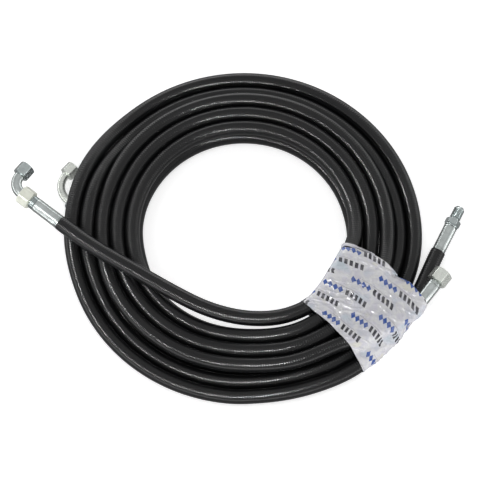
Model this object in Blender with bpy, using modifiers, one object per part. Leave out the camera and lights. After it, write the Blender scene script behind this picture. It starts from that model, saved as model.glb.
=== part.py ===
"""Hydraulic hose assembly: two rubber hoses wound into one coil, with four crimped end fittings.

Two ends carry bent-tube elbows with swivel nuts, one a straight swivel nut and one a fixed male
thread. A band of film holds the coil. Units are metres, +Z is up, and the coil lies on Z = 0.
The coil's own centre is at COIL_CENTRE, so that the whole object's box is centred on the origin.
"""

import math

import bmesh
import bpy
from mathutils import Matrix, Vector

MM = 0.001
GAP = 0.3 * MM
COIL_CENTRE = (5.2 * MM, 0.0, 0.0)

# Hose: 3/8 inch bore, two wire braids.
HOSE_R = 9.5 * MM
BRAID_R = 7.9 * MM
LINER_R = 6.3 * MM
STEM_R = 4.9 * MM
BORE_R = 3.6 * MM

# Coil: two layers of turns at the inner side and one at the outer side.
COIL_IN = 127.0 * MM
COIL_OUT = 221.5 * MM
LAYER_OUT = 188.5 * MM
COIL_TOP = 38.0 * MM
STEP_TOP = 20.0 * MM

# Film band round the coil, from one angle to the other, clockwise.
FILM_FROM = -14.0
FILM_TO = -52.5
FILM_IN = 124.3 * MM
FILM_OUT = 247.8 * MM
FILM_TOP = 42.5 * MM
FILM_WALL = 0.8 * MM

ROUND = 20

# Ends: where the cover stops at the ferrule's mouth, from the coil's centre, and the heading.
ENDS = {
    "a": {"mouth": (-227.2, 3.0, 48.2), "heading": 141.0},
    "b": {"mouth": (-187.6, 18.7, 10.6), "heading": 137.0},
    "c": {"mouth": (240.4, -20.4, 10.5), "heading": 64.2},
    "d": {"mouth": (212.4, -100.6, 31.0), "heading": 52.7},
}
FERRULE_LENGTH = {"a": 38.0, "b": 34.0, "c": 36.0, "d": 34.0}
FERRULE_R = {"a": 8.9, "b": 8.9, "c": 8.4, "d": 8.8}
COLLAR_LENGTH = 7.0
ELBOWS = {
    "a": {"tube_r": 6.75, "bend_r": 16.0, "before": 0.6, "after": 4.5},
    "b": {"tube_r": 5.0, "bend_r": 24.0, "before": 3.0, "after": 3.0},
}
ELBOW_WALL = 1.6
NUTS = {
    "a": {"flats": 19.0, "length": 16.0, "rear_bore": 7.15, "front_bore": 8.0, "head": 7.6},
    "b": {"flats": 17.5, "length": 15.0, "rear_bore": 5.4, "front_bore": 7.0, "head": 6.6},
    "d": {"flats": 22.5, "length": 17.0, "rear_bore": 6.9, "front_bore": 9.0, "head": 8.6},
}
# Boxes cut out of the film outside its slanted edge, and out of the coil round end B's fitting.
TRIM_SIZE = (300.0 * MM, 160.0 * MM, 120.0 * MM)
TRIM_SHIFT = (80.0 * MM, 80.0 * MM, 0.0)
SLOT_SIZE = (24.0 * MM, 24.0 * MM, 110.0 * MM)
SLOT_SHIFT = (0.0, 0.0, 53.6 * MM)
HEX_A = {"flats": 22.0, "length": 16.0}
HEX_C = {"flats": 17.5, "length": 7.6}

# Hose stretches outside the coil, from the coil towards each ferrule, in millimetres; the last
# STRAIGHT of each runs dead straight into its ferrule's mouth.
STRAIGHT = 12.0 * MM
ROUTES = {
    "a": [
        (59.0, -101.0, 30.0),
        (38.0, -110.3, 31.5),
        (10.0, -115.0, 33.5),
        (-17.4, -113.6, 37.5),
        (-54.6, -102.0, 43.0),
        (-91.9, -84.5, 47.6),
        (-134.1, -60.5, 48.4),
        (-186.3, -29.0, 48.3),
    ],
    "c": [(226.6, -46.6, 10.5)],
    "d": [
        (112.0, -178.5, 31.0),
        (146.0, -160.5, 31.0),
        (176.0, -138.5, 31.0),
        (194.0, -122.5, 31.0),
    ],
}


def vec(point):
    return Vector(point) * MM


def material(name, colour, metallic, roughness):
    mat = bpy.data.materials.new(name)
    mat.use_nodes = True
    shader = mat.node_tree.nodes["Principled BSDF"]
    shader.inputs["Base Color"].default_value = (*colour, 1.0)
    shader.inputs["Metallic"].default_value = metallic
    shader.inputs["Roughness"].default_value = roughness
    return mat


def make_object(name, mesh, mat, parent, home, offset=0.0):
    """Puts a mesh in the scene under its parent, moved along the parent's own Z."""
    obj = bpy.data.objects.new(name, mesh)
    home.objects.link(obj)
    obj.parent = parent
    obj.location.z = offset
    if mat:
        mesh.materials.append(mat)
    return obj


def empty(name, parent, home, matrix):
    obj = bpy.data.objects.new(name, None)
    obj.empty_display_size = 10 * MM
    home.objects.link(obj)
    obj.parent = parent
    obj.matrix_basis = matrix
    return obj


def guide(obj):
    """Marks an object as a cutter, which is not part of the assembly."""
    obj.hide_render = True
    obj.display_type = "WIRE"
    return obj


def profile_mesh(name, points, closed=True):
    mesh = bpy.data.meshes.new(name)
    count = len(points)
    edges = [(i, (i + 1) % count) for i in range(count if closed else count - 1)]
    mesh.from_pydata([(r, 0.0, z) for r, z in points], edges, [])
    return mesh


def turn(obj, angle=math.tau, steps=ROUND):
    screw = obj.modifiers.new("turn", "SCREW")
    screw.angle = angle
    screw.steps = steps
    screw.render_steps = steps
    screw.use_merge_vertices = True
    screw.merge_threshold = 0.00001
    return screw


def turned(name, points, mat, parent, home, offset=0.0):
    """A ring or bush from its closed outline (radius, height) in millimetres, outer side first."""
    outline = [(r * MM, z * MM) for r, z in points]
    obj = make_object(name, profile_mesh(name, outline), mat, parent, home, offset * MM)
    turn(obj)
    return obj


def turned_cutter(name, points, parent, home, offset=0.0):
    """A solid of revolution whose outline starts and ends on the axis, top to bottom."""
    outline = [(r * MM, z * MM) for r, z in points]
    mesh = profile_mesh(name, outline, closed=False)
    obj = make_object(name, mesh, None, parent, home, offset * MM)
    turn(obj)
    return guide(obj)


def boolean(obj, other, operation):
    mod = obj.modifiers.new(other.name, "BOOLEAN")
    mod.operation = operation
    mod.object = other


def hex_mesh(name, flats, length):
    """A hexagonal bar along +Z from 0, with its corners 30 degrees off the local X axis."""
    mesh = bpy.data.meshes.new(name)
    bm = bmesh.new()
    corner = flats * MM / math.sqrt(3.0)
    bmesh.ops.create_cone(
        bm, cap_ends=True, segments=6, radius1=corner, radius2=corner, depth=length * MM
    )
    bmesh.ops.translate(bm, verts=bm.verts, vec=(0, 0, length * MM / 2))
    bmesh.ops.rotate(bm, verts=bm.verts, matrix=Matrix.Rotation(math.radians(30), 3, "Z"))
    bm.to_mesh(mesh)
    bm.free()
    return mesh


def chamfered(obj, flats, length, parent, cutters):
    """Turns a hexagon's corners down to a cone at both of its ends."""
    corner = flats / math.sqrt(3.0)
    touch = flats / 2
    slope = (corner + 1.0 - touch) * math.tan(math.radians(30))
    points = [
        (0.0, length + 0.01),
        (touch, length + 0.01),
        (corner + 1.0, length - slope),
        (corner + 1.0, slope),
        (touch, -0.01),
        (0.0, -0.01),
    ]
    shape = turned_cutter(obj.name + "_cone", points, parent, cutters, obj.location.z / MM)
    boolean(obj, shape, "INTERSECT")


def ferrule(key, parts, mats, parent, home):
    """Crimped socket: gripped over the bared braid, with a flange hooked behind the stem's collar."""
    length = FERRULE_LENGTH[key]
    outer = FERRULE_R[key]
    inner = BRAID_R / MM + GAP / MM
    neck = STEM_R / MM + GAP / MM
    points = [
        (outer - 0.5, length),
        (outer, length - 0.6),
        (outer, 3.6),
        (outer - 0.4, 3.2),
        (outer - 0.4, 2.2),
        (outer, 1.8),
        (outer, 0.0),
        (inner, 0.0),
        (inner, length - 2.4),
        (neck, length - 2.4),
        (neck, length),
    ]
    parts["ferrule_" + key] = turned("ferrule_" + key, points, mats["zinc"], parent, home)


def bared_end(key, parts, mats, parent, home):
    """The hose inside its ferrule, with the cover cut back: wire braid over the inner tube."""
    length = FERRULE_LENGTH[key] - 3.0
    gap = GAP / MM
    layers = {
        "braid_": (BRAID_R / MM, LINER_R / MM + gap, "wire"),
        "liner_": (LINER_R / MM, STEM_R / MM + gap, "rubber"),
    }
    for prefix, (outer, inner, mat) in layers.items():
        points = [(outer, length), (outer, gap), (inner, gap), (inner, length)]
        parts[prefix + key] = turned(prefix + key, points, mats[mat], parent, home)


def stem_outline(key, beyond):
    """The stem's barbed tail and collar, closed by the outline of what it carries beyond them."""
    end = FERRULE_LENGTH[key]
    tail = STEM_R / MM
    bore = BORE_R / MM
    barbs = []
    for i in range(2):
        z = end - 9.0 - 8.0 * i
        barbs += [(tail, z), (tail - 0.4, z - 0.4)]
    collar = [(8.7, end + COLLAR_LENGTH), (8.7, end + GAP / MM), (tail, end + GAP / MM)]
    if beyond:
        collar[0] = (8.7, end + 2.5)
    tip = [(tail, 3.2), (tail - 0.9, 2.0), (bore, 2.0)]
    top = beyond[0][1] if beyond else end + COLLAR_LENGTH
    return beyond + collar + barbs + tip + [(bore, top)]


def swivel_nut(key, parts, mats, parent, home, cutters, offset):
    """Hexagonal swivel nut, held by its rear shoulder behind the head of the nose or stem."""
    size = NUTS[key]
    name = "nut_" + key
    nut = make_object(
        name, hex_mesh(name, size["flats"], size["length"]), mats["zinc"], parent, home, offset * MM
    )
    chamfered(nut, size["flats"], size["length"], parent, cutters)
    top = size["length"] + 1.0
    hole = [
        (0.0, top),
        (size["front_bore"], top),
        (size["front_bore"], 4.2),
        (size["rear_bore"], 3.4),
        (size["rear_bore"], -1.0),
        (0.0, -1.0),
    ]
    boolean(nut, turned_cutter(name + "_bore", hole, parent, cutters, offset), "DIFFERENCE")
    parts[name] = nut


def nose_outline(key, start):
    """The coned head that the nut pulls onto its seat, from its rear face at start."""
    head = NUTS[key]["head"]
    tube = BORE_R / MM + 1.2
    return [
        (tube, start + 8.0),
        (head, start + 4.6),
        (head, start + 1.4),
        (head - 1.6, start),
        (BORE_R / MM, start),
        (BORE_R / MM, start + 8.0),
    ]


def elbow(key, parts, mats, parent, home):
    """Bent steel tube turning 90 degrees towards the parent's +Y; returns a frame at its far end."""
    size = ELBOWS[key]
    bend = size["bend_r"]
    points = [(0.0, 0.0, 0.0)]
    for i in range(9):
        a = math.radians(90.0 * i / 8)
        points.append((0.0, bend - bend * math.cos(a), size["before"] + bend * math.sin(a)))
    points.append((0.0, bend + size["after"], size["before"] + bend))
    curve = bpy.data.curves.new("elbow_line", "CURVE")
    curve.dimensions = "3D"
    spline = curve.splines.new("POLY")
    spline.points.add(len(points) - 1)
    for point, p in zip(spline.points, points):
        point.co = (*vec(p), 1.0)
    curve.bevel_depth = size["tube_r"] * MM
    curve.bevel_resolution = 3
    line = bpy.data.objects.new("elbow_line", curve)
    home.objects.link(line)
    bpy.context.view_layer.update()
    seen = line.evaluated_get(bpy.context.evaluated_depsgraph_get())
    mesh = bpy.data.meshes.new_from_object(seen)
    bpy.data.objects.remove(line)
    name = "elbow_" + key
    tube = make_object(name, mesh, mats["zinc"], parent, home)
    wall = tube.modifiers.new("wall", "SOLIDIFY")
    wall.thickness = ELBOW_WALL * MM
    wall.offset = -1.0
    parts[name] = tube
    end = Matrix.Translation(vec(points[-1])) @ Matrix.Rotation(math.radians(-90), 4, "X")
    return empty("elbow_end_" + key, parent, home, end)


def hex_with_bore(name, size, bore, mats, parent, home, cutters, offset):
    obj = make_object(
        name, hex_mesh(name, size["flats"], size["length"]), mats["zinc"], parent, home, offset * MM
    )
    chamfered(obj, size["flats"], size["length"], parent, cutters)
    hole = [
        (0.0, size["length"] + 1.0),
        (bore, size["length"] + 1.0),
        (bore, -1.0),
        (0.0, -1.0),
    ]
    boolean(obj, turned_cutter(name + "_bore", hole, parent, cutters, offset), "DIFFERENCE")
    return obj


def elbow_end(key, parts, mats, parent, home, cutters):
    """Ends A and B: stem and collar, bent tube, coned nose and swivel nut."""
    start = FERRULE_LENGTH[key] + COLLAR_LENGTH
    name = "stem_" + key
    parts[name] = turned(name, stem_outline(key, []), mats["zinc"], parent, home)
    start += GAP / MM
    if key == "a":
        parts["hex_a"] = hex_with_bore(
            "hex_a", HEX_A, BORE_R / MM + 1.0, mats, parent, home, cutters, start
        )
        start += HEX_A["length"] + GAP / MM
    tube_frame = empty("elbow_start_" + key, parent, home, Matrix.Translation((0, 0, start * MM)))
    far = elbow(key, parts, mats, tube_frame, home)
    nose = turned("nose_" + key, nose_outline(key, GAP / MM), mats["zinc"], far, home)
    parts["nose_" + key] = nose
    swivel_nut(key, parts, mats, far, home, cutters, -3.6)


def male_end(parts, mats, parent, home, cutters):
    """End C: stem turned in one piece with a hexagon and a male thread with a 37 degree cone."""
    base = FERRULE_LENGTH["c"]
    hex_start = base + 2.5
    neck = hex_start + HEX_C["length"]
    beyond = [
        (4.6, neck + 19.0),
        (6.9, neck + 16.0),
        (6.9, neck + 3.4),
        (5.2, neck + 3.0),
        (5.2, neck - 0.2),
        (8.4, neck - 0.2),
    ]
    stem = turned("stem_c", stem_outline("c", beyond), mats["zinc"], parent, home)
    parts["stem_c"] = stem
    collar = hex_with_bore("hex_c_ring", HEX_C, 7.0, mats, parent, cutters, cutters, hex_start)
    boolean(stem, guide(collar), "UNION")


def straight_end(parts, mats, parent, home, cutters):
    """End D: stem whose coned head holds a straight swivel nut."""
    base = FERRULE_LENGTH["d"] + 5.6
    head = NUTS["d"]["head"]
    beyond = [
        (4.8, base + 10.0),
        (head, base + 6.4),
        (head, base + 4.6),
        (6.5, base + 3.0),
        (6.5, FERRULE_LENGTH["d"] + 2.5),
    ]
    parts["stem_d"] = turned("stem_d", stem_outline("d", beyond), mats["zinc"], parent, home)
    swivel_nut("d", parts, mats, parent, home, cutters, base - 0.6)


def spline_points(points):
    """Points of a smooth curve through the given ones, about two diameters apart."""
    padded = [points[0] * 2 - points[1]] + points + [points[-1] * 2 - points[-2]]
    found = []
    for p0, p1, p2, p3 in zip(padded, padded[1:], padded[2:], padded[3:]):
        steps = max(1, round((p2 - p1).length / (4.5 * HOSE_R)))
        for i in range(steps):
            t = i / steps
            linear = (p2 - p0) * t
            square = (2 * p0 - 5 * p1 + 4 * p2 - p3) * t**2
            cubic = (3 * p1 - p0 - 3 * p2 + p3) * t**3
            found.append((2 * p1 + linear + square + cubic) / 2)
    return found + [points[-1]]


def free_hose(key, parts, mats, parent, home):
    """The stretch of hose between the coil and a ferrule, as a plain tube."""
    mouth = end_frame(key)
    into = [mouth @ Vector((0.0, 0.0, -back)) for back in (STRAIGHT, GAP)]
    line = spline_points([vec(p) for p in ROUTES[key]] + into)
    curve = bpy.data.curves.new("hose_" + key, "CURVE")
    curve.dimensions = "3D"
    spline = curve.splines.new("POLY")
    spline.points.add(len(line) - 1)
    for point, p in zip(spline.points, line):
        point.co = (*p, 1.0)
    curve.bevel_depth = HOSE_R
    curve.bevel_resolution = 3
    curve.use_fill_caps = True
    curve.materials.append(mats["rubber"])
    obj = bpy.data.objects.new("hose_" + key, curve)
    home.objects.link(obj)
    obj.parent = parent
    parts["hose_" + key] = obj


def film_outline(grow):
    """Rounded box round the coil's section, grown outward by grow, outer side from the top."""
    left, right = FILM_IN - grow, FILM_OUT + grow
    low, high = -grow, FILM_TOP + grow
    radius = 8 * MM
    corners = [
        (right - radius, high - radius, 90),
        (right - radius, low + radius, 0),
        (left + radius, low + radius, -90),
        (left + radius, high - radius, 180),
    ]
    points = []
    for x, z, start in corners:
        for i in range(4):
            a = math.radians(start - 90 * i / 3)
            points.append((x + radius * math.cos(a), z + radius * math.sin(a)))
    return points


def film_band(name, grow, wall, mat, parent, home):
    """The band as a shell; a grown one also reaches past both edges."""
    spare = grow / FILM_IN
    obj = make_object(name, profile_mesh(name, film_outline(grow)), mat, parent, home)
    obj.rotation_euler.z = math.radians(FILM_TO) - spare
    turn(obj, math.radians(FILM_FROM - FILM_TO) + 2 * spare, 10)
    shell = obj.modifiers.new("wall", "SOLIDIFY")
    shell.thickness = wall
    shell.offset = -1.0
    return obj


def film(parts, mats, parent, home, cutters):
    band = film_band("film_wrap", 0.0, FILM_WALL, mats["film"], parent, home)
    inner, outer = vec((120.0, -22.0, 0.0)), vec((221.0, -113.0, 0.0))
    along = (outer - inner).normalized()
    mesh = bpy.data.meshes.new("film_trim")
    bm = bmesh.new()
    bmesh.ops.create_cube(bm, size=1.0)
    bmesh.ops.scale(bm, verts=bm.verts, vec=TRIM_SIZE)
    bmesh.ops.translate(bm, verts=bm.verts, vec=TRIM_SHIFT)
    bm.to_mesh(mesh)
    bm.free()
    trim = guide(make_object("film_trim", mesh, None, parent, cutters))
    trim.matrix_basis = Matrix.Translation(inner) @ Matrix.Rotation(
        math.atan2(along.y, along.x), 4, "Z"
    )
    boolean(band, trim, "DIFFERENCE")
    parts["film_wrap"] = band


def coil(parts, mats, parent, home, cutters):
    """The wound turns of both hoses as one solid, relieved for the film and for end B."""
    outline = [
        (LAYER_OUT - 5.5 * MM, COIL_TOP),
        (LAYER_OUT, COIL_TOP - 8 * MM),
        (LAYER_OUT + 3.5 * MM, STEP_TOP),
        (COIL_OUT - 5 * MM, STEP_TOP),
        (COIL_OUT, STEP_TOP - 6 * MM),
        (COIL_OUT, 4 * MM),
        (COIL_OUT - 5 * MM, 0.0),
        (COIL_IN + 5 * MM, 0.0),
        (COIL_IN, 4 * MM),
        (COIL_IN, COIL_TOP - 11 * MM),
        (COIL_IN + 2.5 * MM, COIL_TOP - 5 * MM),
        (COIL_IN + 9 * MM, COIL_TOP),
    ]
    ring = make_object("coil", profile_mesh("coil", outline), mats["rubber"], parent, home)
    turn(ring, steps=48)
    relief = guide(film_band("film_relief", GAP, FILM_WALL + 2 * GAP, None, parent, cutters))
    boolean(ring, relief, "DIFFERENCE")
    slot_mesh = bpy.data.meshes.new("fitting_slot")
    bm = bmesh.new()
    bmesh.ops.create_cube(bm, size=1.0)
    bmesh.ops.scale(bm, verts=bm.verts, vec=SLOT_SIZE)
    bmesh.ops.translate(bm, verts=bm.verts, vec=SLOT_SHIFT)
    bm.to_mesh(slot_mesh)
    bm.free()
    slot = guide(make_object("fitting_slot", slot_mesh, None, parent, cutters))
    slot.matrix_basis = end_frame("b")
    boolean(ring, slot, "DIFFERENCE")
    parts["coil"] = ring


def end_frame(key):
    """Frame at a ferrule's mouth: local Z runs out along the fitting, local X is up."""
    end = ENDS[key]
    h = math.radians(end["heading"])
    out = Vector((math.cos(h), math.sin(h), 0.0))
    up = Vector((0.0, 0.0, 1.0))
    side = out.cross(up)
    turn_to = Matrix((up, side, out)).transposed().to_4x4()
    return Matrix.Translation(vec(end["mouth"])) @ turn_to


def shade(parts):
    for obj in parts.values():
        if obj.type == "MESH":
            obj.data.shade_smooth()
            obj.data.set_sharp_from_angle(angle=math.radians(35))


def main():
    for obj in list(bpy.data.objects):
        bpy.data.objects.remove(obj)
    home = bpy.data.collections.new("hydraulic_hose_assembly")
    cutters = bpy.data.collections.new("cutters")
    for group in (home, cutters):
        bpy.context.scene.collection.children.link(group)
    mats = {
        "zinc": material("zinc_plated_steel", (0.66, 0.70, 0.68), 1.0, 0.28),
        "rubber": material("hose_rubber", (0.018, 0.018, 0.019), 0.0, 0.42),
        "wire": material("brassed_wire", (0.55, 0.44, 0.25), 1.0, 0.4),
        "film": material("printed_film", (0.80, 0.80, 0.86), 0.0, 0.25),
    }
    parts = {}
    base = empty("coil_centre", None, home, Matrix.Translation(COIL_CENTRE))
    coil(parts, mats, base, home, cutters)
    film(parts, mats, base, home, cutters)
    frames = {key: empty("end_" + key, base, home, end_frame(key)) for key in ENDS}
    for key, frame in frames.items():
        ferrule(key, parts, mats, frame, home)
        bared_end(key, parts, mats, frame, home)
    for key in ELBOWS:
        elbow_end(key, parts, mats, frames[key], home, cutters)
    male_end(parts, mats, frames["c"], home, cutters)
    straight_end(parts, mats, frames["d"], home, cutters)
    for key in ROUTES:
        free_hose(key, parts, mats, base, home)
    shade(parts)


main()
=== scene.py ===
"""Looks of the hydraulic hose assembly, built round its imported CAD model. Units are metres, +Z is up.

Two rubber hoses lie in one coil. Their centrelines are worked out here, turn by turn, and each is
swept into one ribbed tube. The crimped steel ends and the printed film band are modelled again in
fine detail, at the size and place of their CAD nodes.
"""

import math

import bmesh
import bpy
import numpy as np
from mathutils import Matrix, Vector, kdtree, noise
from mathutils.geometry import convex_hull_2d


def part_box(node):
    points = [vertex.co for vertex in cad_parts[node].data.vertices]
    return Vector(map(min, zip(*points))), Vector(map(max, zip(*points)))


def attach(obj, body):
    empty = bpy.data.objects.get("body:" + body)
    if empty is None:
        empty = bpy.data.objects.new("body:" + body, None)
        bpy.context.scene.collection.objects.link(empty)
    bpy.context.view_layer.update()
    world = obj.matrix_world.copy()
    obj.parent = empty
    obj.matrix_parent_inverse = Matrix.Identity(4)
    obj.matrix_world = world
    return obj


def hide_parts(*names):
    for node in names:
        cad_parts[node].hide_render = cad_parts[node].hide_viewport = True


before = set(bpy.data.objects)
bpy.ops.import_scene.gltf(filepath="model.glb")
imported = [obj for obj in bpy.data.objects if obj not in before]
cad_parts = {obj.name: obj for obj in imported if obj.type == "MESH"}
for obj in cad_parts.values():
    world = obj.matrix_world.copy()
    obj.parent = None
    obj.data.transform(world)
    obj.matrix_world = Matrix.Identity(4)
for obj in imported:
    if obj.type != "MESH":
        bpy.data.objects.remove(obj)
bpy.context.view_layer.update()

MM = 0.001

coil_low, coil_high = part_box("coil")
COIL_CENTRE = Vector(((coil_low.x + coil_high.x) / 2, (coil_low.y + coil_high.y) / 2, 0.0))
FROM_MM = Matrix.Scale(MM, 4)
ROUND_COIL = Matrix.Translation(COIL_CENTRE) @ FROM_MM

# Hose, and the slots that its turns lie in: (radius, height) of the centreline, in millimetres.
HOSE_R = 9.5
SIDES = 28
TURN = 360
TOP_0, TOP_1, TOP_2 = [(r, 28.5) for r in (139.6, 158.5, 177.4)]
LOW_0, LOW_1, LOW_2, LOW_3, LOW_4 = [(r, 9.5) for r in (136.3, 155.2, 174.2, 193.1, 212.0)]

# The hump where the two outer turns of the low layer climb over end B's ferrule: its middle, its
# half width at the top and its slopes in degrees, and how far it lifts and spreads the turns.
HUMP_AT, HUMP_HALF, HUMP_SLOPE = 173, 7, 34
HUMP_LIFT, HUMP_SPREAD = 20.3, 1.4

# Settling: how deep two strands may press into each other, and within how many points of its own
# line a point is let alone. The last A_POINTS of end A's strand give way sideways by A_GIVES.
PRESSED = 0.4
OWN_POINTS = 14
A_POINTS, A_GIVES = 120, 0.3

# Ends: the ferrule's mouth from the coil's centre, in millimetres, and its heading in degrees.
ENDS = {
    "a": ((-227.2, 3.0, 48.2), 141.0),
    "b": ((-187.6, 18.7, 10.6), 137.0),
    "c": ((240.4, -20.4, 10.5), 64.2),
    "d": ((212.4, -100.6, 31.0), 52.7),
}
STRAIGHT = 12.0
GAP = 0.3
FERRULE_LENGTH = {"a": 38.0, "b": 34.0, "c": 36.0, "d": 34.0}
FERRULE_R = {"a": 8.9, "b": 8.9, "c": 8.4, "d": 8.8}
BRAID_R = 7.9
STEM_R = 4.9
BORE_R = 3.6
COLLAR_R = 8.7
COLLAR_LENGTH = 7.0
ELBOW_WALL = 1.6
ELBOWS = {
    "a": {"tube_r": 6.75, "bend_r": 16.0, "before": 0.6, "after": 4.5},
    "b": {"tube_r": 5.0, "bend_r": 24.0, "before": 3.0, "after": 3.0},
}
NUTS = {
    "a": {"flats": 19.0, "length": 16.0, "rear_bore": 7.15, "front_bore": 8.0, "head": 7.6},
    "b": {"flats": 17.5, "length": 15.0, "rear_bore": 5.4, "front_bore": 7.0, "head": 6.6},
    "d": {"flats": 22.5, "length": 17.0, "rear_bore": 6.9, "front_bore": 9.0, "head": 8.6},
}
NUT_BACK = 3.6
HEX_A = {"flats": 22.0, "length": 16.0}
HEX_C = {"flats": 17.5, "length": 7.6}
THREAD_PITCH = 1.5

# Routes of the hose outside the coil, in millimetres: end A's from the coil, the others towards it.
ROUTE_A = [
    (57.1, -112.0, 30.0),
    (44.7, -116.1, 30.5),
    (19.9, -118.4, 31.5),
    (-5.0, -117.7, 34.5),
    (-29.8, -113.4, 39.0),
    (-54.6, -105.8, 43.5),
    (-91.9, -86.5, 47.6),
    (-134.1, -60.9, 48.4),
    (-186.3, -29.0, 48.3),
]
ROUTE_B = [(-149.0, -87.0, 9.6), (-160.5, -60.0, 9.8), (-165.5, -34.0, 10.1), (-168.6, -12.0, 10.4)]
ROUTE_C = [(214.6, -79.0, 10.4), (198.5, -110.5, 10.2), (177.3, -138.5, 10.0), (135.1, -173.0, 9.8)]
ROUTE_D = [(189.1, -122.8, 31.0), (154.6, -139.2, 31.0), (116.4, -148.9, 29.5), (56.2, -173.1, 28.8)]

# Film: its gap to the strands, its thickness, its width and, in metres, its cut size. Its two
# edges are (radius, angle) from the inner side outward, in millimetres and degrees.
FILM_CLEAR = 0.5
FILM_PLY = 0.35
FILM_WIDTH = 110.0
FILM_AROUND, FILM_ACROSS = 420, 130
MID_BAND = -30.0
EDGE_FROM = [
    (118.0, -9.6),
    (124.0, -10.0),
    (156.0, -11.8),
    (186.0, -15.8),
    (221.5, -20.3),
    (233.4, -22.3),
    (243.0, -23.5),
    (250.0, -26.0),
]
EDGE_TO = [(124.0, -53.4), (158.7, -50.6), (203.6, -50.0), (226.3, -50.7), (240.0, -51.0)]


# ---------------------------------------------------------------- centrelines

def ease(t):
    """0 to 1 along half a cosine wave."""
    return (1 - math.cos(math.pi * min(1.0, max(0.0, t)))) / 2


def wound(stations, lift=None, step=5.0):
    """Turns of hose through stations of (clockwise angle, slot), easing from slot to slot."""
    points = []
    for (start, here), (stop, there) in zip(stations, stations[1:]):
        count = max(1, round((stop - start) / step))
        for i in range(count):
            share = ease(i / count)
            turned = start + (stop - start) * i / count
            radius = here[0] + (there[0] - here[0]) * share
            height = here[1] + (there[1] - here[1]) * share
            if lift:
                radius, height = lift(turned, radius, height)
            angle = math.radians(-turned)
            points.append((radius * math.cos(angle), radius * math.sin(angle), height))
    return points


def over_end_b(turned, radius, height):
    """The two outer turns of the low layer climb over end B's ferrule."""
    if radius < (LOW_2[0] + LOW_3[0]) / 2:
        return radius, height
    outward = (radius - LOW_3[0]) / (LOW_4[0] - LOW_3[0])
    away = abs((-turned - (HUMP_AT - 3 * outward) + TURN / 2) % TURN - TURN / 2)
    share = ease(1 - (away - HUMP_HALF) / HUMP_SLOPE)
    return radius + HUMP_SPREAD * share, height + (HUMP_LIFT - 0.6 * outward) * share


def way_out(key):
    """Unit vector out of an end's hose, along its fitting."""
    heading = math.radians(ENDS[key][1])
    return math.cos(heading), math.sin(heading), 0.0


def end_frame(key):
    """Frame at a ferrule's mouth: local Z runs out along the fitting and local X is up."""
    mouth, out, up = Vector(ENDS[key][0]), Vector(way_out(key)), Vector((0.0, 0.0, 1.0))
    axes = Matrix((up, out.cross(up), out)).transposed().to_4x4()
    return Matrix.Translation(COIL_CENTRE + mouth * MM) @ axes


def into(key):
    """The last two points of a hose: it runs straight into its ferrule's mouth."""
    mouth = ENDS[key][0]
    return [tuple(np.array(mouth) - np.array(way_out(key)) * STRAIGHT), mouth]


def travelled(line):
    """How far along a line each of its points is."""
    return np.r_[0, np.cumsum(np.linalg.norm(np.diff(line, axis=0), axis=1))]


def respaced(line, count):
    """The same line as a number of evenly spaced points, from its first to its last."""
    along = travelled(line)
    even = np.linspace(0, along[-1], count)
    return np.stack([np.interp(even, along, column) for column in line.T], axis=1)


def smooth_line(points, step=4.0, rounds=24):
    """Evenly spaced points along a polyline, with its corners rounded and its ends kept."""
    rough = np.array(points, float)
    line = respaced(rough, round(travelled(rough)[-1] / step) + 1)
    for _ in range(rounds):
        line[3:-3] = averaged(line)[3:-3]
    return line


def averaged(rows):
    """Each row but the first and last, averaged with its neighbours."""
    out = rows.copy()
    out[1:-1] = 0.25 * rows[:-2] + 0.5 * rows[1:-1] + 0.25 * rows[2:]
    return out


def sideways_shares(lines):
    """How far each point gives way sideways. End A's strand, last on the first line, gives less."""
    shares = [np.ones(len(line)) for line in lines]
    shares[0][-A_POINTS:] = A_GIVES
    for _ in range(20):
        shares[0] = averaged(shares[0])
    return shares


def pushes(lines):
    """How each point is pushed by the strands that it overlaps, one array for each line."""
    clear = 2 * HOSE_R - PRESSED
    owner = np.concatenate([np.arange(len(line)) + 10000 * k for k, line in enumerate(lines)])
    every = np.vstack(lines)
    tree = kdtree.KDTree(len(every))
    for i, point in enumerate(every):
        tree.insert(point, i)
    tree.balance()
    push = np.zeros_like(every)
    for i, point in enumerate(every):
        found = [f for f in tree.find_range(point, clear) if abs(owner[f[1]] - owner[i]) > OWN_POINTS]
        for near, _, distance in found:
            push[i] += (point - np.array(near)) * (clear - distance) / distance / len(found)
    return np.split(push, np.cumsum([len(line) for line in lines])[:-1])


def settle(lines, rounds=60):
    """Moves strands that would overlap gently apart, and keeps the lines smooth where they moved.

    Each round moves them by gain times the overlap, spread along the line by blurs averagings. The
    still points at both ends stay, and a move under small is smoothed only in part.
    """
    gain, blurs, still, small = 1.3, 24, 4, 0.05
    shares = sideways_shares(lines)
    for _ in range(rounds):
        pushed = pushes(lines)
        if not any(push.any() for push in pushed):
            break
        for line, share, push in zip(lines, shares, pushed):
            moved = gain * push
            for _ in range(blurs):
                moved = averaged(moved)
            moved[:still] = moved[-still:] = 0.0
            moved[:, :2] *= share[:, None]
            line += moved
            line[:, 2] = np.maximum(line[:, 2], HOSE_R)
            eased = np.minimum(1.0, np.linalg.norm(moved, axis=1) / small)[:, None]
            for _ in range(2):
                line[3:-3] += (eased * (averaged(line) - line))[3:-3]


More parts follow.
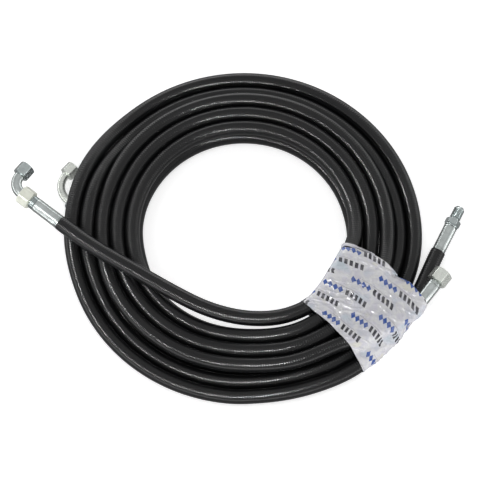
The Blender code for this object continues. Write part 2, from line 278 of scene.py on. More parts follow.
def hose_one():
    """From end D, inward through both layers and up again, and over the coil to end A."""
    turns = [
        (92, TOP_2),
        (TURN + 4, TOP_2),
        (TURN + 52, (170.0, 28.5)),
        (TURN + 92, TOP_1),
        (2 * TURN + 4, TOP_1),
        (2 * TURN + 40, (168.0, 9.5)),
        (2 * TURN + 92, LOW_1),
        (3 * TURN + 30, LOW_1),
        (3 * TURN + 100, LOW_0),
        (4 * TURN - 20, LOW_0),
        (4 * TURN + 58, (150.0, 28.5)),
        (4 * TURN + 100, TOP_0),
        (5 * TURN - 6, TOP_0),
        (5 * TURN + 28, (134.0, 32.0)),
        (5 * TURN + 54, (130.5, 29.5)),
    ]
    return smooth_line(into("d")[::-1] + ROUTE_D + wound(turns) + ROUTE_A + into("a"))


def hose_two():
    """From end C, inward along the low layer, and out under its own turns to end B."""
    turns = [
        (92, LOW_4),
        (TURN, LOW_4),
        (TURN + 52, (200.5, 9.5)),
        (TURN + 92, LOW_3),
        (2 * TURN, LOW_3),
        (2 * TURN + 52, (181.5, 9.5)),
        (2 * TURN + 92, LOW_2),
        (2 * TURN + 145, LOW_2),
    ]
    coiled = wound(turns, over_end_b)
    return smooth_line(into("c")[::-1] + ROUTE_C + coiled + ROUTE_B + into("b"))


def past_mouth(line, reach):
    """A line with a point added straight beyond its first one, where the ferrule carries it on."""
    out = line[0] - line[1]
    return np.vstack([line[0] + out / np.linalg.norm(out) * reach, line])


# ---------------------------------------------------------------- meshes

def new_object(name, mesh, mat, sharp=35.0):
    """Puts a mesh in the scene, smooth but for edges sharper than the angle given in degrees."""
    mesh.materials.append(mat)
    mesh.shade_smooth()
    mesh.set_sharp_from_angle(angle=math.radians(sharp))
    obj = bpy.data.objects.new(name, mesh)
    bpy.context.scene.collection.objects.link(obj)
    return obj


def grid_mesh(name, points, uvs, matrix, caps=False):
    """A closed mesh from a grid [row][column] of points: its rows close on themselves, and its
    first and last row are joined, or with caps each gets a flat cap."""
    rows, cols = points.shape[:2]
    faces, loops = [], []
    for i in range(rows - 1 if caps else rows):
        ni = (i + 1) % rows
        for j in range(cols):
            nj = (j + 1) % cols
            faces.append((i * cols + j, i * cols + nj, ni * cols + nj, ni * cols + j))
            loops.append(uv_corners(uvs, i, j))
    if caps:
        faces.append(tuple(range(cols))[::-1])
        faces.append(tuple((rows - 1) * cols + j for j in range(cols)))
        loops += [[(0.0, 0.0)] * cols] * 2
    mesh = bpy.data.meshes.new(name)
    mesh.from_pydata([tuple(p) for p in points.reshape(-1, 3)], [], faces)
    layer = mesh.uv_layers.new(name="UVMap")
    layer.data.foreach_set("uv", [c for face in loops for uv in face for c in uv])
    mesh.transform(matrix)
    bm = bmesh.new()
    bm.from_mesh(mesh)
    bmesh.ops.recalc_face_normals(bm, faces=bm.faces)
    bm.to_mesh(mesh)
    bm.free()
    return mesh


def uv_corners(uvs, i, j):
    """UVs of grid face (i, j); uvs gives the row values and the column values, one more of each."""
    rows, cols = uvs
    left, right = cols[j], cols[j + 1]
    low, high = rows[i], rows[i + 1]
    return [(left, low), (right, low), (right, high), (left, high)]


def frames_along(line):
    """Tangent, side and up vectors along a line, without twist."""
    tangent = np.gradient(line, axis=0)
    tangent /= np.linalg.norm(tangent, axis=1)[:, None]
    side = np.cross(tangent[0], (0.0, 0.0, 1.0))
    sides = []
    for t in tangent:
        side = side - t * side.dot(t)
        side /= np.linalg.norm(side)
        sides.append(side)
    sides = np.array(sides)
    return tangent, sides, np.cross(sides, tangent)


def tube(name, line, mat):
    """The hose as a round tube along a line in millimetres, its cut ends slightly rounded."""
    tangent, side, up = frames_along(line)
    last = len(line) - 1
    edge = [(GAP, HOSE_R - 0.7), (0.5, HOSE_R - 0.2)]
    rings = [(line[0] + tangent[0] * back, 0, r) for back, r in edge]
    rings += [(line[i], i, HOSE_R) for i in range(1, last)]
    rings += [(line[last] - tangent[last] * back, last, r) for back, r in edge[::-1]]
    around = np.linspace(0, math.tau, SIDES + 1)
    cos, sin = np.cos(around[:-1]), np.sin(around[:-1])
    points = np.array(
        [c + r * (cos[:, None] * side[i] + sin[:, None] * up[i]) for c, i, r in rings]
    )
    centres = np.array([c for c, _, _ in rings])
    uvs = (travelled(centres) * MM, around / math.tau)
    mesh = grid_mesh(name, points, uvs, ROUND_COIL, caps=True)
    return new_object(name, mesh, mat, 60.0)


def turned(name, outline, matrix, mat, columns=96):
    """A ring whose closed outline (radius, height), in millimetres, may change with the angle."""
    angles = [math.tau * j / columns for j in range(columns)]
    points = np.array(
        [[(r * math.cos(a), r * math.sin(a), z) for r, z in outline(a)] for a in angles]
    ).transpose(1, 0, 2)
    first = outline(0.0)
    uvs = (travelled(np.array(first + first[:1])) * MM, np.arange(columns + 1) / columns)
    mesh = grid_mesh(name, points, uvs, matrix @ FROM_MM)
    return new_object(name, mesh, mat)


def off_flat(angle, sides):
    """Angle from the middle of the nearest of the flats round an axis."""
    return (angle + math.pi / sides) % (math.tau / sides) - math.pi / sides


def hex_radius(angle, flats):
    """Distance from the axis to a hexagon's side, with its corners rubbed down a little."""
    return min(flats / 2 / math.cos(off_flat(angle, 6)), flats / math.sqrt(3.0) - 0.25)


def hex_rows(angle, flats, start, stop):
    """Outline of a hexagon's outer side, chamfered by a 30 degree cone at both ends."""
    radius = hex_radius(angle, flats)
    touch = flats / 2 - 0.3
    drop = (radius - touch) * math.tan(math.radians(30))
    return [(touch, stop), (radius, stop - drop), (radius, start + drop), (touch, start)]


def thread_rows(angle, radius, start, stop, pitch, depth):
    """Outline of a helical thread from start to stop; a positive depth cuts inward."""
    count = max(2, round(abs(stop - start) / (pitch / 8)))
    rows = []
    for i in range(count + 1):
        z = start + (stop - start) * i / count
        phase = (z / pitch - angle / math.tau) % 1.0
        tooth = min(1.0, max(0.0, 2.6 * abs(phase - 0.5) - 0.15))
        fade = min(1.0, min(i, count - i) / 8)
        rows.append((radius - depth * tooth * fade, z))
    return rows


# ---------------------------------------------------------------- fittings

def ferrule(key, mat):
    """Crimped ferrule: rounded mouth, grip groove, eight pressed lands and a rounded shoulder."""
    length, outer = FERRULE_LENGTH[key], FERRULE_R[key]
    inner, neck = BRAID_R + GAP, STEM_R + GAP
    land, groove = outer * 0.962, outer - 0.35
    first, last = 4.6, length - 3.2

    def outline(angle):
        pressed = min(outer, land / math.cos(off_flat(angle, 8)))
        points = [(outer - 1.0, length), (outer - 0.3, length - 0.3), (outer, length - 1.0)]
        points += [(outer, last + 0.9), (pressed, last), (pressed, first), (outer, first - 0.8)]
        for k in range(3):
            z = 3.4 - 1.05 * k
            points += [(outer, z), (groove, z - 0.25), (groove, z - 0.5), (outer, z - 0.75)]
        points += [(outer - 0.1, 0.15), (groove, 0.0), (inner, 0.0)]
        return points + [(inner, length - 2.4), (neck, length - 2.4), (neck, length)]

    return turned("ferrule_" + key + "_crimped", outline, end_frame(key), mat)


def stem_tail(end):
    """Outline of a stem's barbed tail inside the hose, from its collar back to its bore."""
    points = []
    for i in range(4):
        z = end - 6.0 - 5.0 * i
        points += [(STEM_R, z), (STEM_R - 0.4, z - 0.4)]
    return points + [(STEM_R, 3.2), (STEM_R - 0.9, 2.0), (BORE_R, 2.0)]


def ridged_stem(key, mat):
    """Stem of an elbow end, with a ridged collar between the ferrule and what follows it."""
    end = FERRULE_LENGTH[key]
    top = end + COLLAR_LENGTH
    groove = COLLAR_R - 0.9

    def outline(angle):
        points = [(COLLAR_R - 1.2, top)]
        for k in range(4):
            z = top - 0.4 - 1.65 * k
            points += [(groove, z), (COLLAR_R, z - 0.35), (COLLAR_R, z - 0.95), (groove, z - 1.3)]
        points += [(COLLAR_R - 1.0, end + GAP), (STEM_R, end + GAP)]
        return points + stem_tail(end) + [(BORE_R, top)]

    return turned("stem_" + key + "_ridged", outline, end_frame(key), mat)


def hex_block(mat):
    """End A's big hexagon, between the ferrule and the bent tube."""
    start = FERRULE_LENGTH["a"] + COLLAR_LENGTH + GAP
    stop = start + HEX_A["length"]
    bore = BORE_R + 1.0

    def outline(angle):
        return hex_rows(angle, HEX_A["flats"], start, stop) + [(bore, start), (bore, stop)]

    return turned("hex_a_chamfered", outline, end_frame("a"), mat), stop + GAP


def bent_tube(key, start, mat):
    """Elbow: a thick-walled steel tube turning a right angle, and the frame at its far end."""
    size = ELBOWS[key]
    bend, outer, inner = size["bend_r"], size["tube_r"], size["tube_r"] - ELBOW_WALL
    base = end_frame(key) @ Matrix.Translation((0, 0, start * MM))
    steps, sides = 28, 40
    turns = [math.pi / 2 * i / steps for i in range(steps + 1)]
    path = [(0.0, 0.0)]
    path += [(bend - bend * math.cos(t), size["before"] + bend * math.sin(t)) for t in turns]
    path.append((bend + size["after"], size["before"] + bend))
    headings = [0.0] + turns + [math.pi / 2]
    around = np.linspace(0, math.tau, sides + 1)

    def ring(radius, place, heading):
        y, z = place
        lean, rise = math.cos(heading), math.sin(heading)
        return [
            (radius * math.cos(a), y - radius * math.sin(a) * lean, z + radius * math.sin(a) * rise)
            for a in around[:-1]
        ]

    outside = [ring(outer, place, heading) for place, heading in zip(path, headings)]
    lining = [ring(inner, place, heading) for place, heading in zip(path, headings)]
    points = np.array(outside + lining[::-1])
    uvs = (np.arange(len(points) + 1) * 1.2 * MM, around / math.tau)
    mesh = grid_mesh("elbow_" + key, points, uvs, base @ FROM_MM)
    obj = new_object("elbow_" + key + "_tube", mesh, mat)
    far = base @ Matrix.Translation(Vector((0, path[-1][0], path[-1][1])) * MM)
    return obj, far @ Matrix.Rotation(math.radians(-90), 4, "X")


def nose(key, far, mat):
    """Coned head on the tube's end, which the nut pulls onto its seat."""
    head = NUTS[key]["head"]
    lip = BORE_R + 1.2

    def outline(angle):
        return [
            (lip, GAP + 8.0),
            (head - 0.5, GAP + 5.0),
            (head, GAP + 4.6),
            (head, GAP + 1.4),
            (head - 1.6, GAP),
            (BORE_R, GAP),
            (BORE_R, GAP + 7.6),
        ]

    return turned("nose_" + key + "_cone", outline, far, mat)


def swivel_nut(key, place, offset, mat):
    """Hexagonal swivel nut: a rear shoulder, room for the coned head, and a threaded bore."""
    size = NUTS[key]
    stop = offset + size["length"]
    front, rear = size["front_bore"], size["rear_bore"]

    def outline(angle):
        points = hex_rows(angle, size["flats"], offset, stop)
        points += [(rear + 0.3, offset), (rear, offset + 0.3), (rear, offset + 3.4)]
        points += [(front, offset + 4.2), (front, offset + 8.8)]
        points += thread_rows(angle, front, offset + 9.0, stop - 1.2, THREAD_PITCH, 0.55)
        return points + [(front + 0.9, stop)]

    return turned("nut_" + key + "_threaded", outline, place, mat)


def collar_rows(end, top):
    """Outline of a round collar from top down to the ferrule's end, and in to the stem."""
    edge = COLLAR_R - 0.4
    points = [(edge, top), (COLLAR_R, top - 0.4), (COLLAR_R, end + 0.7), (edge, end + GAP)]
    return points + [(STEM_R, end + GAP)]


def male_stem(mat):
    """End C in one piece: barbed tail, collar, hexagon, male thread and 37 degree cone."""
    end = FERRULE_LENGTH["c"]
    start = end + 2.5
    neck = start + HEX_C["length"]

    def outline(angle):
        points = [(4.6, neck + 19.0), (6.5, neck + 16.5)]
        points += thread_rows(angle, 6.9, neck + 16.0, neck + 3.4, THREAD_PITCH, 0.75)
        points += [(5.2, neck + 3.0), (5.2, neck)]
        points += hex_rows(angle, HEX_C["flats"], start, neck) + collar_rows(end, start - 0.1)
        return points + stem_tail(end) + [(BORE_R, neck + 18.6)]

    return turned("stem_c_threaded", outline, end_frame("c"), mat)


def straight_stem(mat):
    """End D's stem: barbed tail, collar, neck and the coned head inside the nut."""
    end = FERRULE_LENGTH["d"]
    base = end + 5.6
    head = NUTS["d"]["head"]

    def outline(angle):
        points = [(4.8, base + 10.0), (head, base + 6.4), (head, base + 4.6), (6.5, base + 3.0)]
        points += [(6.5, end + 2.9)] + collar_rows(end, end + 2.5)
        return points + stem_tail(end) + [(BORE_R, base + 9.6)]

    nut_offset = base - 0.6
    return turned("stem_d_headed", outline, end_frame("d"), mat), nut_offset


# ---------------------------------------------------------------- film band

def crossings(lines, angle):
    """(radius, height, half width) of every strand that crosses a half plane through the axis.

    A strand that crosses it aslant is wider there, up to what least allows.
    """
    least = 0.7
    across = np.array((-math.sin(angle), math.cos(angle)))
    outward = np.array((math.cos(angle), math.sin(angle)))
    found = []
    for line in lines:
        side = line[:, :2] @ across
        ahead = line[:, :2] @ outward
        for i in np.flatnonzero(np.sign(side[:-1]) != np.sign(side[1:])):
            if ahead[i] > 0:
                t = side[i] / (side[i] - side[i + 1])
                step = line[i + 1] - line[i]
                point = line[i] + step * t
                square = abs(step[:2] @ across) / np.linalg.norm(step)
                found.append((math.hypot(point[0], point[1]), point[2], HOSE_R / max(least, square)))
    return found


def section(strands, count):
    """The tight outline round a section's strands, evenly spaced, from the inner side over the top."""
    circle = np.linspace(0, math.tau, 49)[:-1]
    reach = HOSE_R + FILM_CLEAR
    cloud = [
        (r + (half + FILM_CLEAR) * math.cos(a), max(FILM_CLEAR, z + reach * math.sin(a)))
        for r, z, half in strands
        for a in circle
    ]
    ring = np.array([cloud[i] for i in convex_hull_2d(cloud)])
    area = np.sum(ring[:, 0] * np.roll(ring[:, 1], -1) - ring[:, 1] * np.roll(ring[:, 0], -1))
    if area > 0:
        ring = ring[::-1]
    middle = 15.0
    start = int(np.argmin(np.abs(ring[:, 1] - middle) + (ring[:, 0] - ring[:, 0].min()) * 5))
    ring = np.roll(ring, -start, axis=0)
    ring = np.vstack([ring, ring[:1]])
    return respaced(ring, count + 1)[:-1], travelled(ring)[-1]


def slack(point, strands):
    """How far a point of the outline is from the nearest strand's surface."""
    return min(math.hypot(point[0] - r, point[1] - z) - half for r, z, half in strands) - FILM_CLEAR


def film_band(lines, mat):
    """The film: a tight wrap round the strands, sunk a little between them and creased.

    Its edges' angles depend on the radius, so each point's angle is found in a few rounds.
    """
    degrees = np.arange(-58.0, -6.0, 1.0)
    sections, girths, slacks = [], [], []
    for degree in degrees:
        strands = crossings(lines, math.radians(degree))
        ring, girth = section(strands, FILM_AROUND)
        sections.append(ring)
        girths.append(girth)
        slacks.append([slack(point, strands) for point in ring])
    sections, slacks = np.array(sections), np.array(slacks)
    edge_from, edge_to = np.array(EDGE_FROM).T, np.array(EDGE_TO).T
    points = np.zeros((FILM_AROUND, FILM_ACROSS + 1, 3))
    loose = np.zeros((FILM_AROUND, FILM_ACROSS + 1))
    for i in range(FILM_AROUND):
        for j in range(FILM_ACROSS + 1):
            angle = MID_BAND
            for _ in range(4):
                k = min(len(degrees) - 2, max(0, int(angle - degrees[0])))
                f = min(1.0, max(0.0, angle - degrees[k]))
                radius, height = sections[k, i] * (1 - f) + sections[k + 1, i] * f
                start, stop = np.interp(radius, *edge_from), np.interp(radius, *edge_to)
                angle = start + (stop - start) * j / FILM_ACROSS
            points[i, j] = radius, math.radians(angle), height
            loose[i, j] = slacks[k, i] * (1 - f) + slacks[k + 1, i] * f
    return film_mesh(points, loose, float(np.mean(girths)), mat)


def crease(u, v):
    """Height of the film's wrinkles at a place on it, in millimetres; u runs along the wrap."""
    broad = noise.noise((u / 34, v / 13, 1.3)) + 0.5 * noise.noise((u / 15, v / 21, 7.7))
    slanted = 0.55 * u + v
    folds = 1 - abs(noise.noise((u / 30, slanted / 9, 4.1))) * 4.2
    fine = 1 - abs(noise.noise((u / 11, v / 6.5, 9.4))) * 4.5
    return 1.2 * broad + 1.1 * max(0.0, folds) + 0.6 * max(0.0, fine)


def film_rise(loose, girth):
    """How far the film stands out from its tight outline: its creases, less a dip into loose room.

    The creases fade out over a twelfth of the girth to each side of where the wrap closes.
    """
    around, columns = loose.shape
    rise = np.zeros_like(loose)
    for i in range(around):
        wrap = min(1.0, 12 * i / around, 12 * (around - i) / around)
        for j in range(columns):
            u, v = girth * i / around, FILM_WIDTH * j / (columns - 1)
            room = max(0.0, loose[i, j])
            rise[i, j] = max(crease(u, v) * wrap - 0.28 * min(9.0, room), -0.2 - 0.6 * room)
    return rise


def film_mesh(points, loose, girth, mat):
    """Turns the film's (radius, angle, height) grid into a closed thin sheet."""
    around, columns = points.shape[:2]
    radius, angle, height = points[..., 0], points[..., 1], points[..., 2]
    place = np.stack([radius * np.cos(angle), radius * np.sin(angle), height], axis=-1)
    down = np.roll(place, -1, axis=0) - np.roll(place, 1, axis=0)
    along = np.gradient(place, axis=1)
    normal = np.cross(along, down)
    normal /= np.linalg.norm(normal, axis=-1)[..., None]
    outward = place - place.mean(axis=0)
    if np.sum(normal * outward) < 0:
        normal = -normal
    outer = place + normal * (film_rise(loose, girth) + FILM_PLY)[..., None]
    outer[..., 2] = np.maximum(outer[..., 2], 0.05)
    inner = outer - normal * FILM_PLY
    inner[..., 2] = np.maximum(inner[..., 2], 0.3)
    grid = np.concatenate([outer, inner[:, ::-1]], axis=1).transpose(1, 0, 2)
    across = np.linspace(0, FILM_WIDTH, columns) * MM
    rows = np.r_[across, across[::-1], across[:1]]
    cols = np.linspace(0, girth, around + 1) * MM
    mesh = grid_mesh("film", grid, (rows, cols), ROUND_COIL)
    return new_object("film_wrap_printed", mesh, mat, 50.0)


# ---------------------------------------------------------------- materials

def fill_ramp(elements, stops):
    """Sets the stops of a colour ramp, each a position and a colour."""
    while len(elements) < len(stops):
        elements.new(0.5)
    for element, (position, colour) in zip(elements, stops):
        element.position = position
        element.color = (*colour, 1.0)


class Nodes:
    """A material's node tree, with short calls for the nodes used here."""

    def __init__(self, name, **values):
        self.mat = bpy.data.materials.new(name)
        self.mat.use_nodes = True
        self.tree = self.mat.node_tree
        self.shader = self.tree.nodes["Principled BSDF"]
        self.paint(**values)

    def add(self, kind, **values):
        """A new node, with its properties set."""
        node = self.tree.nodes.new(kind)
        for key, value in values.items():
            setattr(node, key, value)
        return node

    def link(self, value, socket):
        """Links an output to a socket, or sets the socket to a plain value."""
        if isinstance(value, bpy.types.NodeSocket):
            self.tree.links.new(value, socket)
        else:
            socket.default_value = value

    def math(self, operation, a, b=0.0, c=0.0):
        """One step of arithmetic on outputs or numbers."""
        node = self.add("ShaderNodeMath", operation=operation)
        for socket, value in zip(node.inputs, (a, b, c)):
            self.link(value, socket)
        return node.outputs[0]

    def uv(self):
        """(around or along the wrap, along the part or across the band), the latter in metres."""
        where = self.add("ShaderNodeTexCoord")
        split = self.add("ShaderNodeSeparateXYZ")
        self.link(where.outputs["UV"], split.inputs[0])
        return split.outputs[0], split.outputs[1]

    def noise(self, scale, detail=2.0, stretch=None):
        """A noise texture through the solid, 0 to 1, optionally stretched along an axis."""
        where = self.add("ShaderNodeTexCoord")
        source = where.outputs["Object"]
        if stretch:
            mapping = self.add("ShaderNodeMapping")
            self.link(source, mapping.inputs["Vector"])
            self.link(stretch, mapping.inputs["Scale"])
            source = mapping.outputs[0]
        node = self.add("ShaderNodeTexNoise")
        self.link(source, node.inputs["Vector"])
        self.link(scale, node.inputs["Scale"])
        self.link(detail, node.inputs["Detail"])
        return node.outputs["Fac"]

    def ramp(self, factor, stops):
        """A factor as a colour, through (position, colour) stops."""
        node = self.add("ShaderNodeValToRGB")
        fill_ramp(node.color_ramp.elements, stops)
        self.link(factor, node.inputs[0])
        return node.outputs[0]

    def mix(self, factor, a, b):
        """Colour a where the factor is 0, and b where it is 1."""
        node = self.add("ShaderNodeMix", data_type="RGBA")
        self.link(factor, node.inputs["Factor"])
        self.link(a, node.inputs[6])
        self.link(b, node.inputs[7])
        return node.outputs[2]

    def paint(self, **values):
        """Gives the shader's sockets a texture or a value; an underscore stands for a space."""
        for key, value in values.items():
            self.link(value, self.shader.inputs[key.replace("_", " ")])

    def between(self, texture, low, high):
        """A texture's 0 to 1 as low to high."""
        node = self.add("ShaderNodeMapRange")
        self.link(texture, node.inputs["Value"])
        node.inputs["To Min"].default_value = low
        node.inputs["To Max"].default_value = high
        return node.outputs[0]

    def bump(self, height, distance, normal=None):
        """A normal bumped by a height of 0 to 1 over a distance in metres, on top of another."""
        node = self.add("ShaderNodeBump")
        node.inputs["Distance"].default_value = distance
        self.link(height, node.inputs["Height"])
        if normal is not None:
            self.link(normal, node.inputs["Normal"])
        return node.outputs[0]


def rubber():
    """Black cover with the fine cross ribbing that the curing wrap leaves, and a little bloom."""
    n = Nodes("hose_cover", Specular_IOR_Level=0.36)
    _, along = n.uv()
    rib = n.math("SINE", n.math("MULTIPLY", along, math.tau / 0.0030))
    black, bloom = (0.0045, 0.0048, 0.0055), (0.0092, 0.0092, 0.0097)
    ribbed = n.bump(rib, 0.00020)
    n.paint(
        Base_Color=n.ramp(n.noise(14.0, 3.0), [(0.3, black), (0.75, bloom)]),
        Roughness=n.between(n.noise(40.0, 4.0), 0.13, 0.22),
        Normal=n.bump(n.noise(900.0, 2.0), 0.00012, ribbed),
    )
    return n.mat


def zinc(name, tint, dull, metallic=1.0):
    """Bright zinc plate: turned marks round the part, faint stains and a slight tint; in two lighter
    copies the tint is painted light.
    """
    n = Nodes(name, Metallic=metallic)
    _, along = n.uv()
    marks = n.math("SINE", n.math("MULTIPLY", along, math.tau / 0.00042))
    stained = tuple(c * 0.86 for c in tint)
    cut = n.bump(marks, 0.000006)
    n.paint(
        Base_Color=n.ramp(n.noise(120.0, 4.0), [(0.35, stained), (0.62, tint)]),
        Roughness=n.between(n.noise(260.0, 3.0), dull, dull + 0.14),
        Normal=n.bump(n.noise(1500.0, 2.0), 0.00004, cut),
    )
    return n.mat


def braid_wire():
    """Brassed wire braid, as fine slanted strands."""
    n = Nodes("braid_wire", Metallic=1.0, Roughness=0.38)
    where = n.add("ShaderNodeTexCoord")
    wave = n.add("ShaderNodeTexWave", wave_type="BANDS", bands_direction="DIAGONAL")
    n.link(where.outputs["Object"], wave.inputs["Vector"])
    wave.inputs["Scale"].default_value = 420.0
    strands = wave.outputs["Fac"]
    n.paint(
        Base_Color=n.ramp(strands, [(0.2, (0.30, 0.22, 0.11)), (0.7, (0.62, 0.50, 0.29))]),
        Normal=n.bump(strands, 0.0002),
    )
    return n.mat


def inner_tube():
    """Black rubber of the hose's inner tube, matt where it was cut."""
    n = Nodes("inner_tube", Specular_IOR_Level=0.4, Roughness=0.5)
    black, grey = (0.010, 0.010, 0.011), (0.022, 0.021, 0.021)
    n.paint(
        Base_Color=n.ramp(n.noise(90.0, 3.0), [(0.3, black), (0.7, grey)]),
        Normal=n.bump(n.noise(700.0), 0.0001),
    )
    return n.mat


def inside(n, value, low, high):
    """1 where low < value < high, and 0 elsewhere."""
    return n.math("MULTIPLY", n.math("GREATER_THAN", value, low), n.math("LESS_THAN", value, high))


def print_masks(n):
    """The film's generic print: rows of four slanted lozenges, then five upright bars, and a rule.

    Lengths are in metres. Each row is shifted against the one before it, and the rows run aslant.
    """
    row_pitch, repeat, shift = 0.0195, 0.081, 0.026
    lozenge, bar = 0.0069, 0.0064
    lozenges_from, lozenges_to, bars_from, bars_to = 0.003, 0.0306, 0.034, 0.066
    u, v = n.uv()
    tilted = n.math("ADD", v, n.math("MULTIPLY", u, 0.10))
    scaled = n.math("DIVIDE", tilted, row_pitch)
    row = n.math("FLOOR", scaled)
    up = n.math("MULTIPLY", n.math("FRACT", scaled), row_pitch)
    shifted = n.math("ADD", u, n.math("MULTIPLY", row, shift))
    run = n.math("MULTIPLY", n.math("FRACT", n.math("DIVIDE", shifted, repeat)), repeat)
    lean = n.math("SUBTRACT", run, n.math("MULTIPLY", up, 0.35))
    middle = n.math("ABSOLUTE", n.math("SUBTRACT", up, 0.0105))

    cell = n.math("FRACT", n.math("DIVIDE", n.math("SUBTRACT", lean, lozenges_from), lozenge))
    centre = n.math("ABSOLUTE", n.math("SUBTRACT", cell, 0.5))
    spread = n.math("ADD", n.math("MULTIPLY", centre, lozenge), n.math("MULTIPLY", middle, 0.78))
    filled = n.math("LESS_THAN", spread, 0.0035)
    blue = n.math("MULTIPLY", filled, inside(n, lean, lozenges_from, lozenges_to))

    cell = n.math("FRACT", n.math("DIVIDE", n.math("SUBTRACT", lean, bars_from), bar))
    filled = n.math("MULTIPLY", n.math("LESS_THAN", cell, 0.60), n.math("LESS_THAN", middle, 0.0036))
    dark = n.math("MULTIPLY", filled, inside(n, lean, bars_from, bars_to))

    rule = n.math("MULTIPLY", inside(n, up, 0.0046, 0.0054), inside(n, lean, 0.014, 0.052))
    return blue, dark, rule


def film():
    """Glossy milky film with faint rainbow tints and a worn two-colour print."""
    n = Nodes("film", Specular_IOR_Level=0.6, Coat_Weight=0.35, Coat_Roughness=0.08)
    tints = [
        (0.30, (0.54, 0.60, 0.66)),
        (0.42, (0.64, 0.64, 0.70)),
        (0.50, (0.73, 0.73, 0.74)),
        (0.60, (0.65, 0.64, 0.71)),
        (0.72, (0.72, 0.71, 0.65)),
    ]
    blue, dark, rule = print_masks(n)
    worn = n.math("MULTIPLY_ADD", n.noise(160.0, 3.0), 0.7, 0.58)
    colour = n.ramp(n.noise(46.0, 2.0), tints)
    colour = n.mix(n.math("MULTIPLY", rule, 0.5), colour, (0.25, 0.22, 0.24, 1.0))
    colour = n.mix(n.math("MULTIPLY", blue, worn), colour, (0.016, 0.075, 0.34, 1.0))
    colour = n.mix(n.math("MULTIPLY", dark, worn), colour, (0.012, 0.012, 0.022, 1.0))
    n.paint(
        Base_Color=colour,
        Roughness=n.between(n.noise(70.0, 3.0), 0.16, 0.36),
        Normal=n.bump(n.noise(120.0, 5.0, (1.0, 1.6, 1.0)), 0.0011),
    )
    return n.mat


# ---------------------------------------------------------------- stage

def add_camera():
    """Looks steeply down from the front, far enough back to see little perspective."""
    elevation = math.radians(68)
    distance, view_width = 6.0, 0.596
    target = COIL_CENTRE + Vector((-5.0, -0.8, 0.0)) * MM
    data = bpy.data.cameras.new("camera")
    data.sensor_width = 36.0
    data.lens = data.sensor_width * distance / view_width
    obj = bpy.data.objects.new("camera", data)
    bpy.context.scene.collection.objects.link(obj)
    obj.location = target + Vector((0.0, -math.cos(elevation), math.sin(elevation))) * distance
    obj.rotation_euler = (math.pi / 2 - elevation, 0.0, 0.0)
    bpy.context.scene.camera = obj


def add_floor():
    """A pale light table: mostly its own even light, with soft contact shadows."""
    mesh = bpy.data.meshes.new("floor")
    bm = bmesh.new()
    bmesh.ops.create_grid(bm, x_segments=8, y_segments=8, size=6.0)
    bm.to_mesh(mesh)
    bm.free()
    n = Nodes("floor", Roughness=0.9, Specular_IOR_Level=0.1, Emission_Strength=0.58)
    n.paint(Base_Color=(0.92, 0.92, 0.92, 1.0), Emission_Color=(1.0, 1.0, 1.0, 1.0))
    mesh.materials.append(n.mat)
    obj = bpy.data.objects.new("floor", mesh)
    bpy.context.scene.collection.objects.link(obj)
    obj.location.z = -0.0002
    obj.visible_glossy = False


def add_light(name, azimuth, elevation, size, power, distance=1.6):
    """A softbox aimed at the coil; azimuth 0 is the camera's side, counted clockwise."""
    data = bpy.data.lights.new(name, "AREA")
    data.shape = "RECTANGLE"
    data.size, data.size_y = size
    data.energy = power
    obj = bpy.data.objects.new(name, data)
    bpy.context.scene.collection.objects.link(obj)
    a, e = math.radians(azimuth), math.radians(elevation)
    way = Vector((-math.sin(a) * math.cos(e), -math.cos(a) * math.cos(e), math.sin(e)))
    obj.location = COIL_CENTRE + way * distance
    obj.rotation_euler = (-way).to_track_quat("-Z", "Y").to_euler()
    return obj


def add_lights():
    """Soft light from behind and from the left, and a small key light that shows only as gloss."""
    add_light("back_softbox", 165, 14, (1.2, 0.25), 3.0)
    add_light("left_softbox", 70, 50, (0.5, 0.5), 1.5)
    add_light("key", 45, 41, (0.14, 0.14), 30.0).visible_diffuse = False


def add_world():
    """Grey surroundings, dark below, with a narrow bright band along the horizon."""
    world = bpy.data.worlds.new("studio")
    world.use_nodes = True
    bpy.context.scene.world = world
    tree = world.node_tree
    back = tree.nodes["Background"]
    where = tree.nodes.new("ShaderNodeTexCoord")
    split = tree.nodes.new("ShaderNodeSeparateXYZ")
    halved = tree.nodes.new("ShaderNodeMath")
    ramp = tree.nodes.new("ShaderNodeValToRGB")
    greys = [
        (0.0, 0.08),
        (0.45, 0.07),
        (0.49, 0.5),
        (0.50, 1.0),
        (0.53, 0.75),
        (0.565, 0.22),
        (0.63, 0.13),
        (0.81, 0.11),
        (1.0, 0.15),
    ]
    fill_ramp(ramp.color_ramp.elements, [(position, (grey,) * 3) for position, grey in greys])
    halved.operation = "MULTIPLY_ADD"
    halved.inputs[1].default_value = 0.5
    halved.inputs[2].default_value = 0.5
    tree.links.new(where.outputs["Generated"], split.inputs[0])
    tree.links.new(split.outputs[2], halved.inputs[0])
    tree.links.new(halved.outputs[0], ramp.inputs[0])
    tree.links.new(ramp.outputs[0], back.inputs["Color"])
    back.inputs["Strength"].default_value = 5.0


# ---------------------------------------------------------------- assembly

def stand_for(obj, body, slot, *nodes):
    """Puts a piece on its body, in place of its CAD nodes; its slot is not used."""
    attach(obj, body)
    if nodes:
        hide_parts(*nodes)
    return obj


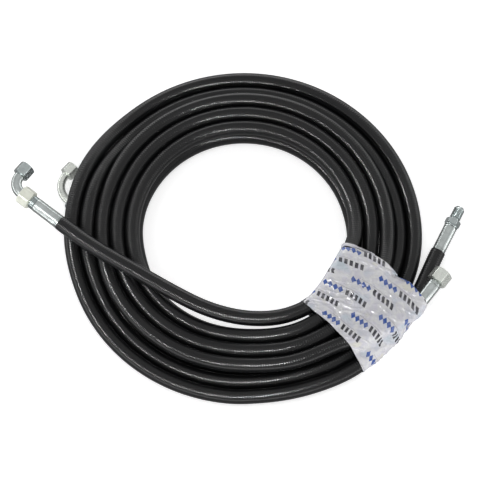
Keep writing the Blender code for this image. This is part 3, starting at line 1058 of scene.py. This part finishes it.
def dress_frame():
    """Gives the braids and the inner tubes, which keep their CAD shapes, their materials."""
    for prefix, mat in (("braid_", braid_wire()), ("liner_", inner_tube())):
        for key in ENDS:
            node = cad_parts[prefix + key]
            node.data.materials.clear()
            node.data.materials.append(mat)


def add_fittings():
    """The steel pieces of the four ends, listed by the end that they are on."""
    plain = zinc("zinc_plain", (0.56, 0.60, 0.59), 0.16)
    # Painted highlight: a near-white, partly diffuse copy of the zinc plate that makes end A's hexagon
    # look brightly lit.
    bright = zinc("zinc_painted_highlight", (0.93, 0.95, 0.84), 0.24, 0.6)
    # Painted light: a lighter copy of the zinc plate for end B's tube and head and the nuts of ends B
    # and D, with their lit look painted into the colour.
    light = zinc("zinc_painted_light", (0.80, 0.83, 0.78), 0.20, 0.85)
    cool = zinc("zinc_cool", (0.52, 0.57, 0.57), 0.14)
    pieces = {key: [] for key in ENDS}

    def steel(obj, key, node, body="hoses"):
        pieces[key].append(stand_for(obj, body, "zinc_plated_steel", node))

    for key in ENDS:
        steel(ferrule(key, plain), key, "ferrule_" + key)
    for key, tube_steel, nut_steel in (("a", plain, cool), ("b", light, light)):
        steel(ridged_stem(key, cool), key, "stem_" + key)
        start = FERRULE_LENGTH[key] + COLLAR_LENGTH + GAP
        if key == "a":
            block, start = hex_block(bright)
            steel(block, key, "hex_a")
        pipe, far = bent_tube(key, start, tube_steel)
        steel(pipe, key, "elbow_" + key)
        steel(nose(key, far, tube_steel), key, "nose_" + key)
        steel(swivel_nut(key, far, -NUT_BACK, nut_steel), key, "nut_" + key, "nut_" + key + "_body")
    steel(male_stem(cool), "c", "stem_c")
    stem, back = straight_stem(plain)
    steel(stem, "d", "stem_d")
    steel(swivel_nut("d", end_frame("d"), back, light), "d", "nut_d", "nut_d_body")
    return pieces


def add_hoses(lines, pieces):
    """Both hoses, each a tube from the ferrule of its straight end to the ferrule of its elbow end."""
    cover = rubber()
    hoses = (("hose_one", "a", ("coil", "hose_a", "hose_d")), ("hose_two", "b", ("coil", "hose_c")))
    for line, (name, last, nodes) in zip(lines, hoses):
        obj = stand_for(tube(name, line, cover), "hoses", "hose_cover", *nodes)


def main():
    dress_frame()
    lines = [hose_one(), hose_two()]
    settle(lines)
    add_hoses(lines, add_fittings())

    band = film_band([past_mouth(lines[0], 30.0), lines[1]], film())
    stand_for(band, "hoses", "film", "film_wrap")

    add_floor()
    add_world()
    add_lights()
    add_camera()
    bpy.context.scene.view_settings.view_transform = "Standard"


main()
